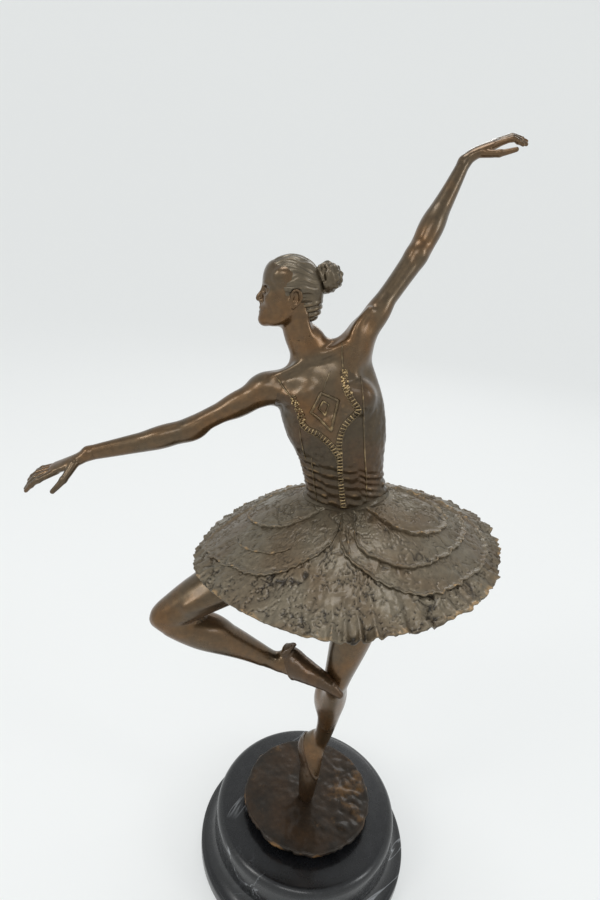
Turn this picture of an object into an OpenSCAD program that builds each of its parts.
// Bronze ballerina on a turned marble base.
// Millimetres. Origin: centre of the base's underside. +Z up, -Y front, +X to the right seen from the front.
// The figure is a set of castings that butt against each other; a stud clamps its ground disc to the marble.

/* [Marble base] */
// Radius of the base at the floor
base_foot_r = 76; // [70:0.5:85]
// Radius of the upright wall of the base
base_wall_r = 65.5; // [62:0.5:68]
// Radius of the flat top of the base
base_top_r = 60; // [56:0.5:61]
// Height of the base, felt included
base_h = 42; // [40:0.5:50]
// Thickness of the felt under the base
felt_t = 2; // [1:0.5:3]
// Height of the upright lip at the foot of the base
base_lip_h = 8; // [5:0.5:10]

/* [Ground disc] */
// Mean radius of the bronze ground
ground_r = 46.4; // [40:0.2:48]
// Thickness of the bronze ground
ground_t = 9; // [8:0.5:11]
// Unevenness of the ground's rim
ground_wobble = 0.8; // [0:0.1:1.5]

/* [Fixings] */
// Radius of the fixing stud
stud_r = 4; // [3:0.5:4]
// Clearance around the stud in the marble
stud_gap = 0.6; // [0.3:0.1:1]
// Radius of the nut recess under the base
recess_r = 15; // [12:0.5:18]
// Depth of the nut recess, from the marble's underside
recess_h = 16; // [14:0.5:18]
// Radius of the pin that joins the toe to the ground
toe_pin_r = 1.5; // [1:0.1:1.6]

/* [Tutu] */
// Radius of the tutu at its rim
tutu_r = 87; // [80:0.5:92]
// Height from the rim up to the waist
tutu_rise = 31; // [26:0.5:34]
// Thickness of the tutu casting
tutu_t = 2.6; // [2:0.1:3.5]
// Tilt of the tutu, right side up, in degrees
tutu_tilt = 7; // [6:0.1:9]
// Folds round the rim of the tutu
tutu_folds = 24; // [16:1:30]
// Thickness of a lace panel
panel_t = 1.1; // [0.8:0.1:1.6]

/* [Castings] */
// Wall thickness of the hollow castings
wall = 3; // [2.4:0.1:3.4]
// Diameter of the trim rolls on the bodice
trim_d = 1.3; // [1:0.1:1.8]

/* [Hidden] */

skin = "#6e5842";
cloth = "#5f5346";
ground_colour = "#4b3a2c";
steel = "#9a9c9e";
seam = 0.12;

nut_h = 6.5;
nut_r = 7.5;
washer_t = 1.6;
spring_t = 2;
disc_z = base_h + ground_t;
recess_z = felt_t + recess_h;
stud_top = base_h + 6.5;
pin_at = [-0.8, -6.2];
toe_pin_z = base_h + 3;
toe_pin_h = 16;

tutu_at = [2.4, -5, 265.8];
tutu_neck = [23.6, 15.2];

// ---- curves and lofts -------------------------------------------------------------------------

function unit(v) = v / norm(v);
function xyz(p) = [p[0], p[1], p[2]];
function smooth(a, b, c, d, t) =
    0.5 * (2 * b + (c - a) * t + (2 * a - 5 * b + 4 * c - d) * t * t
        + (3 * b - a - 3 * c + d) * t * t * t);

// A row of a station list at parameter s, interpolated through its neighbours.
function row(st, s) =
    let (n = len(st) - 1, i = min(floor(s), n - 1))
    smooth(st[max(i - 1, 0)], st[i], st[i + 1], st[min(i + 2, n)], s - i);

// Axes of the section at s: [across, deep, along]. side is the rough direction of across.
function axes(st, s, side) =
    let (h = 0.04, n = len(st) - 1,
        along = unit(xyz(row(st, min(s + h, n))) - xyz(row(st, max(s - h, 0)))),
        deep = unit(cross(along, side)))
    [cross(deep, along), deep, along];

// A limb station is [x, y, z, half width, half depth].
function ring(st, s, side, n = 16) =
    let (p = row(st, s), f = axes(st, s, side))
    [for (k = [0:n - 1]) let (a = 360 * k / n) xyz(p) + p[3] * cos(a) * f[0] + p[4] * sin(a) * f[1]];

function rings(st, s0, s1, side, step = 0.5, n = 16) =
    let (m = ceil((s1 - s0) / step))
    [for (i = [0:m]) ring(st, s0 + (s1 - s0) * i / m, side, n)];

function wall_faces(m, n, first, out) =
    [for (i = [0:m - 2]) for (k = [0:n - 1])
        let (j = (k + 1) % n, a = first + i * n + k, b = a + n, c = first + (i + 1) * n + j, d = c - n)
        each (out ? [[a, b, c], [a, c, d]] : [[a, c, b], [a, d, c]])];

module loft(r) {
    n = len(r[0]);
    m = len(r);
    polyhedron(
        points = [for (q = r) each q],
        faces = concat([[for (k = [0:n - 1]) k]], wall_faces(m, n, 0, true),
            [[for (k = [n - 1:-1:0]) (m - 1) * n + k]]));
}

// A tube between an outer and an inner loft of equal size; shut_start closes its first end.
module shell(outer, inner, shut_start = false, shut_end = false) {
    n = len(outer[0]);
    m = len(outer);
    q = m * n;
    start = shut_start
        ? [[for (k = [0:n - 1]) k], [for (k = [n - 1:-1:0]) q + k]]
        : [for (k = [0:n - 1]) let (j = (k + 1) % n) each [[k, j, q + j], [k, q + j, q + k]]];
    end = shut_end
        ? [[for (k = [n - 1:-1:0]) q - n + k], [for (k = [0:n - 1]) 2 * q - n + k]]
        : [for (k = [0:n - 1]) let (j = (k + 1) % n, a = q - n, b = 2 * q - n)
            each [[a + k, b + j, a + j], [a + k, b + k, b + j]]];
    polyhedron(
        points = concat([for (r = outer) each r], [for (r = inner) each r]),
        faces = concat(start, wall_faces(m, n, 0, true), wall_faces(m, n, q, false), end));
}

module limb(st, s0, s1, side, step = 0.5, n = 16) {
    loft(rings(st, s0, s1, side, step, n));
}

// ---- body stations ----------------------------------------------------------------------------

// Torso: [x, y, z, half width, depth to the back, depth to the front, bust].
TORSO = [
    [3, -6, 246, 8, 7, 7, 0],
    [3, -5.5, 255, 23, 13, 11, 0],
    [3, -5, 267, 28, 17, 14, 0],
    [2, -4.8, 280, 27, 16, 14, 0],
    [0, -4.6, 293, 24, 14.5, 13.5, 0],
    [-2.5, -4.5, 304, 22.5, 13.5, 13, 0],
    [-5.5, -4.5, 318, 23.5, 14, 14.5, 0.1],
    [-8.5, -4.5, 331, 26, 15, 15, 0.6],
    [-13, -4, 343, 28, 15, 15, 1],
    [-17.5, -3, 354, 27, 14, 14, 0.6],
    [-21.5, -1.5, 363, 20.5, 11.5, 11.5, 0.1],
    [-25.5, -1, 370, 12.5, 9, 9, 0],
    [-29.8, -1.5, 376, 8.6, 7.8, 7.8, 0],
    [-34.9, -2.3, 385, 7.4, 7.1, 7.1, 0],
    [-39, -3, 394, 7, 7.4, 7.4, 0],
    [-41.5, -3, 400, 7, 7, 7, 0]
];
torso_side = [1, 0.1, 0];
torso_n = 24;
bust_angle = 32;
bust_h = 5.2;

function bump(a, mid, width) = exp(-pow((a - mid) / width, 2));

function torso_point(s, a, lift = 0) =
    let (p = row(TORSO, s), f = axes(TORSO, s, torso_side),
        depth = sin(a) > 0 ? p[4] : p[5],
        bust = p[6] * bust_h * (bump(a, 270 - bust_angle, 20) + bump(a, 270 + bust_angle, 20)))
    xyz(p) + (p[3] + lift) * cos(a) * f[0] + (depth + lift) * sin(a) * f[1]
        + bust * (cos(a) * f[0] + sin(a) * f[1]);

function torso_ring(s, lift = 0) =
    [for (k = [0:torso_n - 1]) torso_point(s, 360 * k / torso_n, lift)];

function torso_rings(s0, s1, lift = 0, step = 0.5) =
    let (m = ceil((s1 - s0) / step)) [for (i = [0:m]) torso_ring(s0 + (s1 - s0) * i / m, lift)];

// Seams between the body's castings, as places along TORSO.
waist_s = 4.2;
ribs_s = 5.8;
armpit_s = 9;
collar_s = 12;

module torso_shell(s0, s1, shut = false) {
    shell(torso_rings(s0, s1), torso_rings(shut ? s0 + 1 : s0, s1, -wall, shut ? 0.5 * (s1 - s0 - 1)
        / (s1 - s0) : 0.5), shut);
}

module torso_solid() {
    loft(torso_rings(0, 15, 0));
}

// Standing leg, from the toe tip up to the hip.
STANDING = [
    [-1, -4.4, 51, 4.4, 4.2],
    [-1, -3.9, 57, 5.6, 5.2],
    [-0.7, -2.8, 67, 6.8, 6.2],
    [-0.3, -0.9, 79, 8, 5.9],
    [-1.3, 1.6, 91, 10.2, 6],
    [2.3, 2.4, 99, 7.8, 5.8],
    [5.5, 0.4, 107, 6, 5.6],
    [6.8, -4, 124, 7.2, 6.8],
    [6.8, -8.5, 146, 9.2, 9],
    [7.2, -12.5, 161, 8, 8.6],
    [7.6, -14.5, 170, 8.2, 9],
    [9.2, -14.5, 181, 9.4, 10],
    [13.8, -11.5, 206, 13, 13],
    [18.5, -7.5, 236, 15.4, 16],
    [20, -6, 258, 12, 16]
];
standing_side = [-0.85, 0.5, 0];
standing_ankle_s = 5.4;
standing_knee_s = 10;

// Raised leg: thigh from hip to knee, then shin from knee to ankle, then the foot.
RAISED_THIGH = [
    [-12, -6, 262, 13, 15],
    [-32, -11, 254, 15.6, 16],
    [-58.5, -18, 244.5, 14.6, 15],
    [-78, -23.5, 233.6, 12.4, 13],
    [-92, -27.5, 224, 10.4, 10.8],
    [-100, -29.5, 219, 8, 8.2],
    [-104.8, -30.5, 216.6, 3, 3]
];
RAISED_SHIN = [
    [-97.5, -29.5, 216, 7, 7.6],
    [-90, -27, 212.6, 9.2, 9.8],
    [-78, -22.5, 205.8, 10.4, 11],
    [-64, -17.5, 196.8, 9.2, 9.8],
    [-48, -12, 185.4, 7, 7.4],
    [-37, -8.5, 177.2, 5.8, 6],
    [-30, -7, 173.6, 5.6, 5.8]
];
RAISED_FOOT = [
    [-30, -7, 173.6, 5.6, 5.8],
    [-24, -8.5, 176.8, 9.6, 6],
    [-15, -14.5, 177.4, 7.2, 5.6],
    [-5, -21.5, 177.6, 5.2, 4.8],
    [2.6, -26.4, 176.6, 3.8, 3.7],
    [9, -29.4, 172.8, 2.6, 2.5]
];
thigh_side = [0.3, 0, 1];
foot_side = [0.3, 0.2, 1];

// Arms, from inside the chest to the wrist.
RIGHT_ARM = [
    [-29, 0, 360, 6, 7],
    [-40, -1.5, 356.8, 8.2, 9],
    [-50, -3, 354.4, 8, 8.6],
    [-60, -4.5, 348.6, 6.9, 7.3],
    [-75, -7, 339.4, 6, 6.2],
    [-92, -10, 329, 6.3, 6.3],
    [-106, -13, 323.9, 6, 6],
    [-124, -17, 319, 5.1, 5],
    [-143.5, -21.5, 314, 4, 3.6]
];
LEFT_ARM = [
    [-16, -1, 362, 8, 8],
    [-8, 0, 376, 10, 9.5],
    [-2.6, 2, 387.4, 8.2, 8.6],
    [4, 6, 400, 6.1, 6.6],
    [12.5, 13, 414, 5.6, 6],
    [23.2, 22, 431.7, 6.3, 6.3],
    [29.5, 28.5, 447, 6.1, 6.2],
    [37, 35.5, 463.5, 4.6, 4.6],
    [43.4, 41.5, 479, 3.4, 3.4]
];
arm_side = [0, 0, 1];
left_arm_side = [1, 0, -0.6];
elbow_s = 5;

// ---- tutu -------------------------------------------------------------------------------------

// The tutu's surface in its own tilted frame: a is the bearing, t runs from the waist 0 to the rim 1.
function tutu_drop(t) = tutu_rise * (1 - pow(t, 1.25));
function tutu_in(a) = 1 / sqrt(pow(cos(a) / tutu_neck[0], 2) + pow(sin(a) / tutu_neck[1], 2));
function tutu_point(a, t, lift = 0) =
    let (r0 = tutu_in(a), fold = pow(t, 4),
        r = r0 + (tutu_r - r0) * t + 0.9 * fold * sin(tutu_folds / 2 * a + 40))
    [r * cos(a), r * sin(a), tutu_drop(t) + 1.1 * fold * sin(tutu_folds * a) + lift];

module tutu_frame() {
    translate(tutu_at) rotate([0, -tutu_tilt, 0]) children();
}

// A sheet over a grid of [bearing, t] pairs; closed in bearing when ring is true.
module sheet(grid, lift, t) {
    rows_n = len(grid);
    n = len(grid[0]);
    q = rows_n * n;
    function at(i, j, top) = (top ? q : 0) + i * n + j;
    polyhedron(
        points = concat([for (g = grid) for (p = g) tutu_point(p[0], p[1], lift)],
            [for (g = grid) for (p = g) tutu_point(p[0], p[1], lift + t)]),
        faces = concat(
            [for (i = [0:rows_n - 2]) for (j = [0:n - 2]) each [
                [at(i, j, true), at(i + 1, j + 1, true), at(i, j + 1, true)],
                [at(i, j, true), at(i + 1, j, true), at(i + 1, j + 1, true)],
                [at(i, j, false), at(i, j + 1, false), at(i + 1, j + 1, false)],
                [at(i, j, false), at(i + 1, j + 1, false), at(i + 1, j, false)]]],
            [for (i = [0:rows_n - 2]) each [
                [at(i, 0, false), at(i + 1, 0, false), at(i + 1, 0, true)],
                [at(i, 0, false), at(i + 1, 0, true), at(i, 0, true)],
                [at(i, n - 1, false), at(i + 1, n - 1, true), at(i + 1, n - 1, false)],
                [at(i, n - 1, false), at(i, n - 1, true), at(i + 1, n - 1, true)]]],
            [for (j = [0:n - 2]) each [
                [at(0, j, false), at(0, j, true), at(0, j + 1, true)],
                [at(0, j, false), at(0, j + 1, true), at(0, j + 1, false)],
                [at(rows_n - 1, j, false), at(rows_n - 1, j + 1, true), at(rows_n - 1, j, true)],
                [at(rows_n - 1, j, false), at(rows_n - 1, j + 1, false), at(rows_n - 1, j + 1, true)]]]));
}

// A scalloped lace panel: round outline from the waist to t = reach, over bearings mid +- half.
module panel(mid, half, reach, layer) {
    across = 16;
    deep = 4;
    tutu_frame()
        sheet([for (i = [0:across]) let (u = 1.96 * i / across - 0.98, edge = reach * sqrt(1 - u * u))
            [for (j = [0:deep]) [mid + half * u, 0.03 + (edge - 0.03) * j / deep]]],
            seam + layer * (panel_t + seam), panel_t);
}

// ---- base and fixings ---------------------------------------------------------------------------

module felt_pad() {
    color("#20261f") cylinder(r = base_foot_r - 3, h = felt_t, $fn = 72);
}

module marble_base() {
    lip = felt_t + base_lip_h;
    cove = base_foot_r - base_wall_r;
    top_round = base_wall_r - base_top_r;
    color("#1d1f21") difference() {
        rotate_extrude($fn = 96) polygon(concat(
            [[0, felt_t], [base_foot_r - 1.5, felt_t], [base_foot_r, felt_t + 1.5], [base_foot_r, lip]],
            [for (a = [0:15:90]) [base_foot_r - cove * sin(a), lip + 1 + cove * (1 - cos(a))]],
            [for (a = [0:15:90]) [base_top_r + top_round * cos(a), base_h - top_round * (1 - sin(a))]],
            [[0, base_h]]));
        cylinder(r = stud_r + stud_gap, h = base_h + 1, $fn = 48);
        cylinder(r = recess_r, h = recess_z, $fn = 64);
    }
}

module hex_nut() {
    color(steel) translate([0, 0, recess_z - washer_t - spring_t - nut_h]) difference() {
        cylinder(r = nut_r, h = nut_h, $fn = 6);
        translate([0, 0, -1]) cylinder(r = stud_r, h = nut_h + 2, $fn = 48);
    }
}

module washer(r, h) {
    difference() {
        cylinder(r = r, h = h, $fn = 64);
        translate([0, 0, -1]) cylinder(r = stud_r + 0.25, h = h + 2, $fn = 48);
    }
}

module spring_washer() {
    color(steel) translate([0, 0, recess_z - washer_t - spring_t]) difference() {
        washer(6.9, spring_t);
        rotate([0, 0, 30]) translate([stud_r, -0.6, -1]) cube([5, 1.2, spring_t + 2]);
    }
}

module flat_washer() {
    color(steel) translate([0, 0, recess_z - washer_t]) washer(12, washer_t);
}

module fixing_stud() {
    foot = recess_z - washer_t - spring_t - nut_h - 2.5;
    color(steel) translate([0, 0, foot]) cylinder(r = stud_r, h = stud_top - foot, $fn = 48);
}

module ground_disc() {
    rim = [for (a = [0:5:355])
        (ground_r + ground_wobble * (sin(3 * a + 20) + 0.5 * sin(7 * a) + 0.35 * cos(13 * a)))
            * [cos(a), sin(a)]];
    color(ground_colour) translate([0, 0, base_h]) difference() {
        linear_extrude(ground_t) polygon(rim);
        translate([0, 0, -1]) cylinder(r = stud_r, h = stud_top - base_h + 1, $fn = 48);
        translate([pin_at[0], pin_at[1], toe_pin_z - base_h]) cylinder(r = toe_pin_r, h = ground_t, $fn = 32);
    }
}

module toe_pin() {
    color(steel) translate([pin_at[0], pin_at[1], toe_pin_z]) cylinder(r = toe_pin_r, h = toe_pin_h, $fn = 32);
}

// ---- legs ---------------------------------------------------------------------------------------

module standing_shoe() {
    color(cloth) difference() {
        limb(STANDING, 0, standing_ankle_s, standing_side);
        translate([pin_at[0], pin_at[1], disc_z - 1])
            cylinder(r = toe_pin_r, h = toe_pin_z + toe_pin_h - disc_z + 1, $fn = 32);
    }
}

module standing_calf() {
    color(skin) limb(STANDING, standing_ankle_s, standing_knee_s, standing_side, 0.4);
}

module standing_thigh() {
    color(skin) difference() {
        limb(STANDING, standing_knee_s, len(STANDING) - 1, standing_side, 0.4, 20);
        torso_solid();
    }
}

module raised_shoe() {
    color(cloth) difference() {
        limb(RAISED_FOOT, 0, len(RAISED_FOOT) - 1, foot_side, 0.4);
        limb(STANDING, 7, 12, standing_side);
    }
}

module raised_calf() {
    color(skin) difference() {
        limb(RAISED_SHIN, 0, len(RAISED_SHIN) - 1, thigh_side);
        limb(RAISED_THIGH, 0, len(RAISED_THIGH) - 1, thigh_side, 0.5, 20);
        limb(RAISED_FOOT, 0, 2, foot_side, 0.4);
    }
}

module raised_thigh() {
    color(skin) difference() {
        limb(RAISED_THIGH, 0, len(RAISED_THIGH) - 1, thigh_side, 0.5, 20);
        torso_solid();
        limb(STANDING, 11, len(STANDING) - 1, standing_side, 0.4, 20);
    }
}

// ---- trunk --------------------------------------------------------------------------------------

module pelvis() {
    color(cloth) torso_shell(0, waist_s, true);
}

module waistband() {
    folds = 6;
    outer = [for (i = [0:2 * folds]) let (s = waist_s + (ribs_s - waist_s) * i / (2 * folds))
        torso_ring(s, i == 0 || i == 2 * folds ? 0 : (i % 2 == 1 ? 0.7 : 0.1))];
    inner = [for (i = [0:2 * folds]) torso_ring(waist_s + (ribs_s - waist_s) * i / (2 * folds), -wall)];
    color(cloth) shell(outer, inner);
}

module bodice() {
    color(cloth) torso_shell(ribs_s, armpit_s);
}

module chest() {
    color(skin) torso_shell(armpit_s, collar_s);
}

module neck() {
    color(skin) difference() {
        shell(torso_rings(collar_s, 14.6), torso_rings(collar_s, 14.6, -wall));
        head_place() head_form(0);
    }
}

// A roll of trim that follows places [s, bearing] on the bodice.
module trim(places, lift = 0.2) {
    st = [for (p = places) let (q = torso_point(p[0], p[1], lift)) [q[0], q[1], q[2], trim_d / 2, trim_d / 2]];
    loft(rings(st, 0, len(st) - 1, [0.2, 1, 0.3], 1, 8));
}

module bodice_braid() {
    color("#8a7048") {
        for (side = [-1, 1])
            trim([for (i = [0:6]) [8.2 - 1.75 * sin(15 * i), 270 + side * (44 - 6.9 * i)]]);
        trim([for (i = [0:4]) [6.3 - 0.12 * i, 270]]);
    }
}

module bodice_lozenge() {
    at = torso_point(8.5, 262, 0.1);
    color("#7d6543") translate(at) rotate([86, 0, 0]) rotate([0, 0, -14]) difference() {
        linear_extrude(1) polygon([[0, -9], [6, 0], [0, 9], [-6, 0]]);
        translate([0, 0, 0.5]) linear_extrude(1) difference() {
            polygon([[0, -7], [4.6, 0], [0, 7], [-4.6, 0]]);
            polygon([[0, -3.4], [2.2, 0], [0, 3.4], [-2.2, 0]]);
        }
    }
}

module shoulder_straps() {
    color(cloth) for (a = [228, 318])
        trim([for (i = [0:5]) [9 + 0.35 * i, a]], 0.1);
}

// ---- head ---------------------------------------------------------------------------------------

// Head rows from the chin up: [height, forward reach, backward reach, half width].
HEAD = [
    [0, 10, 1, 3],
    [1.5, 13.4, 3, 6],
    [5, 14.4, 6, 8.6],
    [9, 14.8, 10.5, 10.4],
    [14, 15, 14, 11.6],
    [19, 14.6, 16, 12.3],
    [25, 14.4, 16.6, 12.4],
    [30.5, 12.4, 15.4, 11.2],
    [34.5, 8.6, 11.8, 8.6],
    [37.2, 3.6, 6.4, 4.4],
    [38, 0.6, 1.6, 1.2]
];
head_n = 24;
nose_h = 3.2;

// The head in its own frame: face to +X, crown up, origin at the chin's level under the ears.
module head_form(inset) {
    loft([for (s = [0:0.5:len(HEAD) - 1])
        let (p = row(HEAD, s), nose = nose_h * bump(p[0], 14.5, 3) * (inset > 0 ? 0 : 1))
        [for (k = [0:head_n - 1])
            let (a = 360 * k / head_n, reach = cos(a) > 0 ? p[1] : p[2], tip = k == 0 ? nose : 0)
            [max(reach - inset, 0.3) * cos(a) + tip, max(p[3] - inset, 0.3) * sin(a),
                inset > 0 ? 19 + (p[0] - 19) * (1 - inset / 19) : p[0]]]]);
}

module head_place() {
    translate([-44.5, -2.5, 388.5]) rotate([0, 0, 187]) rotate([0, -2, 0]) children();
}

module head() {
    color(skin) head_place() difference() {
        head_form(0);
        head_form(wall);
    }
}

module hair_bun() {
    color("#57493a") difference() {
        union() {
            translate([-23.5, -1, 413.5]) sphere(r = 6.6, $fn = 24);
            translate([-26, -1, 417]) sphere(r = 6, $fn = 24);
        }
        head_place() head_form(0);
    }
}

// ---- arms ---------------------------------------------------------------------------------------

module right_upper_arm() {
    color(skin) difference() {
        limb(RIGHT_ARM, 0, elbow_s, arm_side);
        torso_solid();
    }
}

module right_forearm() {
    color(skin) limb(RIGHT_ARM, elbow_s, len(RIGHT_ARM) - 1, arm_side);
}

module left_upper_arm() {
    color(skin) difference() {
        limb(LEFT_ARM, 0, elbow_s, left_arm_side);
        torso_solid();
    }
}

module left_forearm() {
    color(skin) limb(LEFT_ARM, elbow_s, len(LEFT_ARM) - 1, left_arm_side);
}

// A hand: a palm loft with fingers, each a chain of hulled balls through its joints.
module chain(joints) {
    for (i = [0:len(joints) - 2]) hull() for (j = [i, i + 1])
        translate(xyz(joints[j])) sphere(r = joints[j][3], $fn = 8);
}

RIGHT_PALM = [
    [-143.5, -21.5, 314, 4, 3.6],
    [-148, -23, 311, 4.4, 3.6],
    [-154, -24.5, 308, 5.4, 3.3],
    [-161, -24.5, 305, 5.2, 2.6]
];
RIGHT_FINGERS = [
    [[-158.5, -28, 304.7, 2], [-166.4, -33, 300.7, 1.7], [-173, -34, 294.2, 1.1]],
    [[-160.5, -26, 304.7, 2], [-169.2, -29.5, 300.4, 1.7], [-175.4, -29.5, 293.2, 1.1]],
    [[-161.5, -23.5, 304.7, 2], [-170.4, -24.5, 301.1, 1.6], [-176, -24, 295.7, 1.1]],
    [[-161.5, -21, 304.7, 1.9], [-170, -19.5, 301.7, 1.4], [-175.5, -18.5, 297.1, 1]],
    [[-149.5, -27, 309.2, 2.6], [-153, -33, 302.2, 1.9], [-157.8, -36, 296.3, 1.4]]
];
LEFT_PALM = [
    [43.4, 41.5, 479, 3.4, 3.4],
    [46.4, 42.5, 482.2, 4.2, 3.6],
    [51.5, 44, 485.6, 5.2, 3.4],
    [59, 45.5, 489.6, 5, 2.6]
];
LEFT_FINGERS = [
    [[58, 49, 490.6, 1.9], [67, 52.5, 494.6, 1.5], [75.6, 54.5, 495.4, 1]],
    [[59, 46.5, 490.6, 2], [68, 48.5, 494.6, 1.6], [76.4, 49, 493, 1]],
    [[59.2, 44, 490, 2], [67.6, 44.5, 493.4, 1.6], [75.4, 44.5, 490.8, 1]],
    [[58.8, 41.8, 489, 1.9], [66.4, 41, 492, 1.5], [72.6, 40.5, 489.8, 1]],
    [[52, 41, 484, 2.4], [60, 37.5, 484.2, 1.8], [68.2, 36, 486.6, 1.3]]
];

module right_hand() {
    color(skin) difference() {
        union() {
            limb(RIGHT_PALM, 0, 3, [0, 1, 0.2]);
            for (f = RIGHT_FINGERS) chain(f);
        }
        right_forearm();
    }
}

module left_hand() {
    color(skin) difference() {
        union() {
            limb(LEFT_PALM, 0, 3, [0, 1, 0.2]);
            for (f = LEFT_FINGERS) chain(f);
        }
        left_forearm();
    }
}

// ---- tutu pieces --------------------------------------------------------------------------------

module tutu_plate() {
    steps = 80;
    deep = 6;
    rows_in = [for (t = [0:deep]) t / deep];
    top = [for (t = rows_in) [for (k = [0:steps - 1]) tutu_point(360 * k / steps, t)]];
    under = [for (t = rows_in) [for (k = [0:steps - 1]) tutu_point(360 * k / steps, t, -tutu_t)]];
    color(cloth) tutu_frame() shell(under, top);
}

module panel_front_left() { color("#665a4b") panel(228, 47, 0.66, 0); }
module panel_front_left_top() { color("#6c5f4f") panel(222, 36, 0.3, 1); }
module panel_front_right() { color("#665a4b") panel(312, 47, 0.7, 0); }
module panel_front_right_mid() { color("#6c5f4f") panel(318, 42, 0.5, 1); }
module panel_front_right_top() { color("#726454") panel(324, 34, 0.3, 2); }
module panel_back_left() { color("#665a4b") panel(136, 44, 0.66, 0); }
module panel_back_right() { color("#665a4b") panel(45, 44, 0.66, 0); }

felt_pad();
marble_base();
hex_nut();
spring_washer();
flat_washer();
fixing_stud();
ground_disc();
toe_pin();
standing_shoe();
standing_calf();
standing_thigh();
raised_shoe();
raised_calf();
raised_thigh();
pelvis();
tutu_plate();
panel_front_left();
panel_front_left_top();
panel_front_right();
panel_front_right_mid();
panel_front_right_top();
panel_back_left();
panel_back_right();
waistband();
bodice();
bodice_braid();
bodice_lozenge();
shoulder_straps();
chest();
neck();
head();
hair_bun();
right_upper_arm();
right_forearm();
right_hand();
left_upper_arm();
left_forearm();
left_hand();
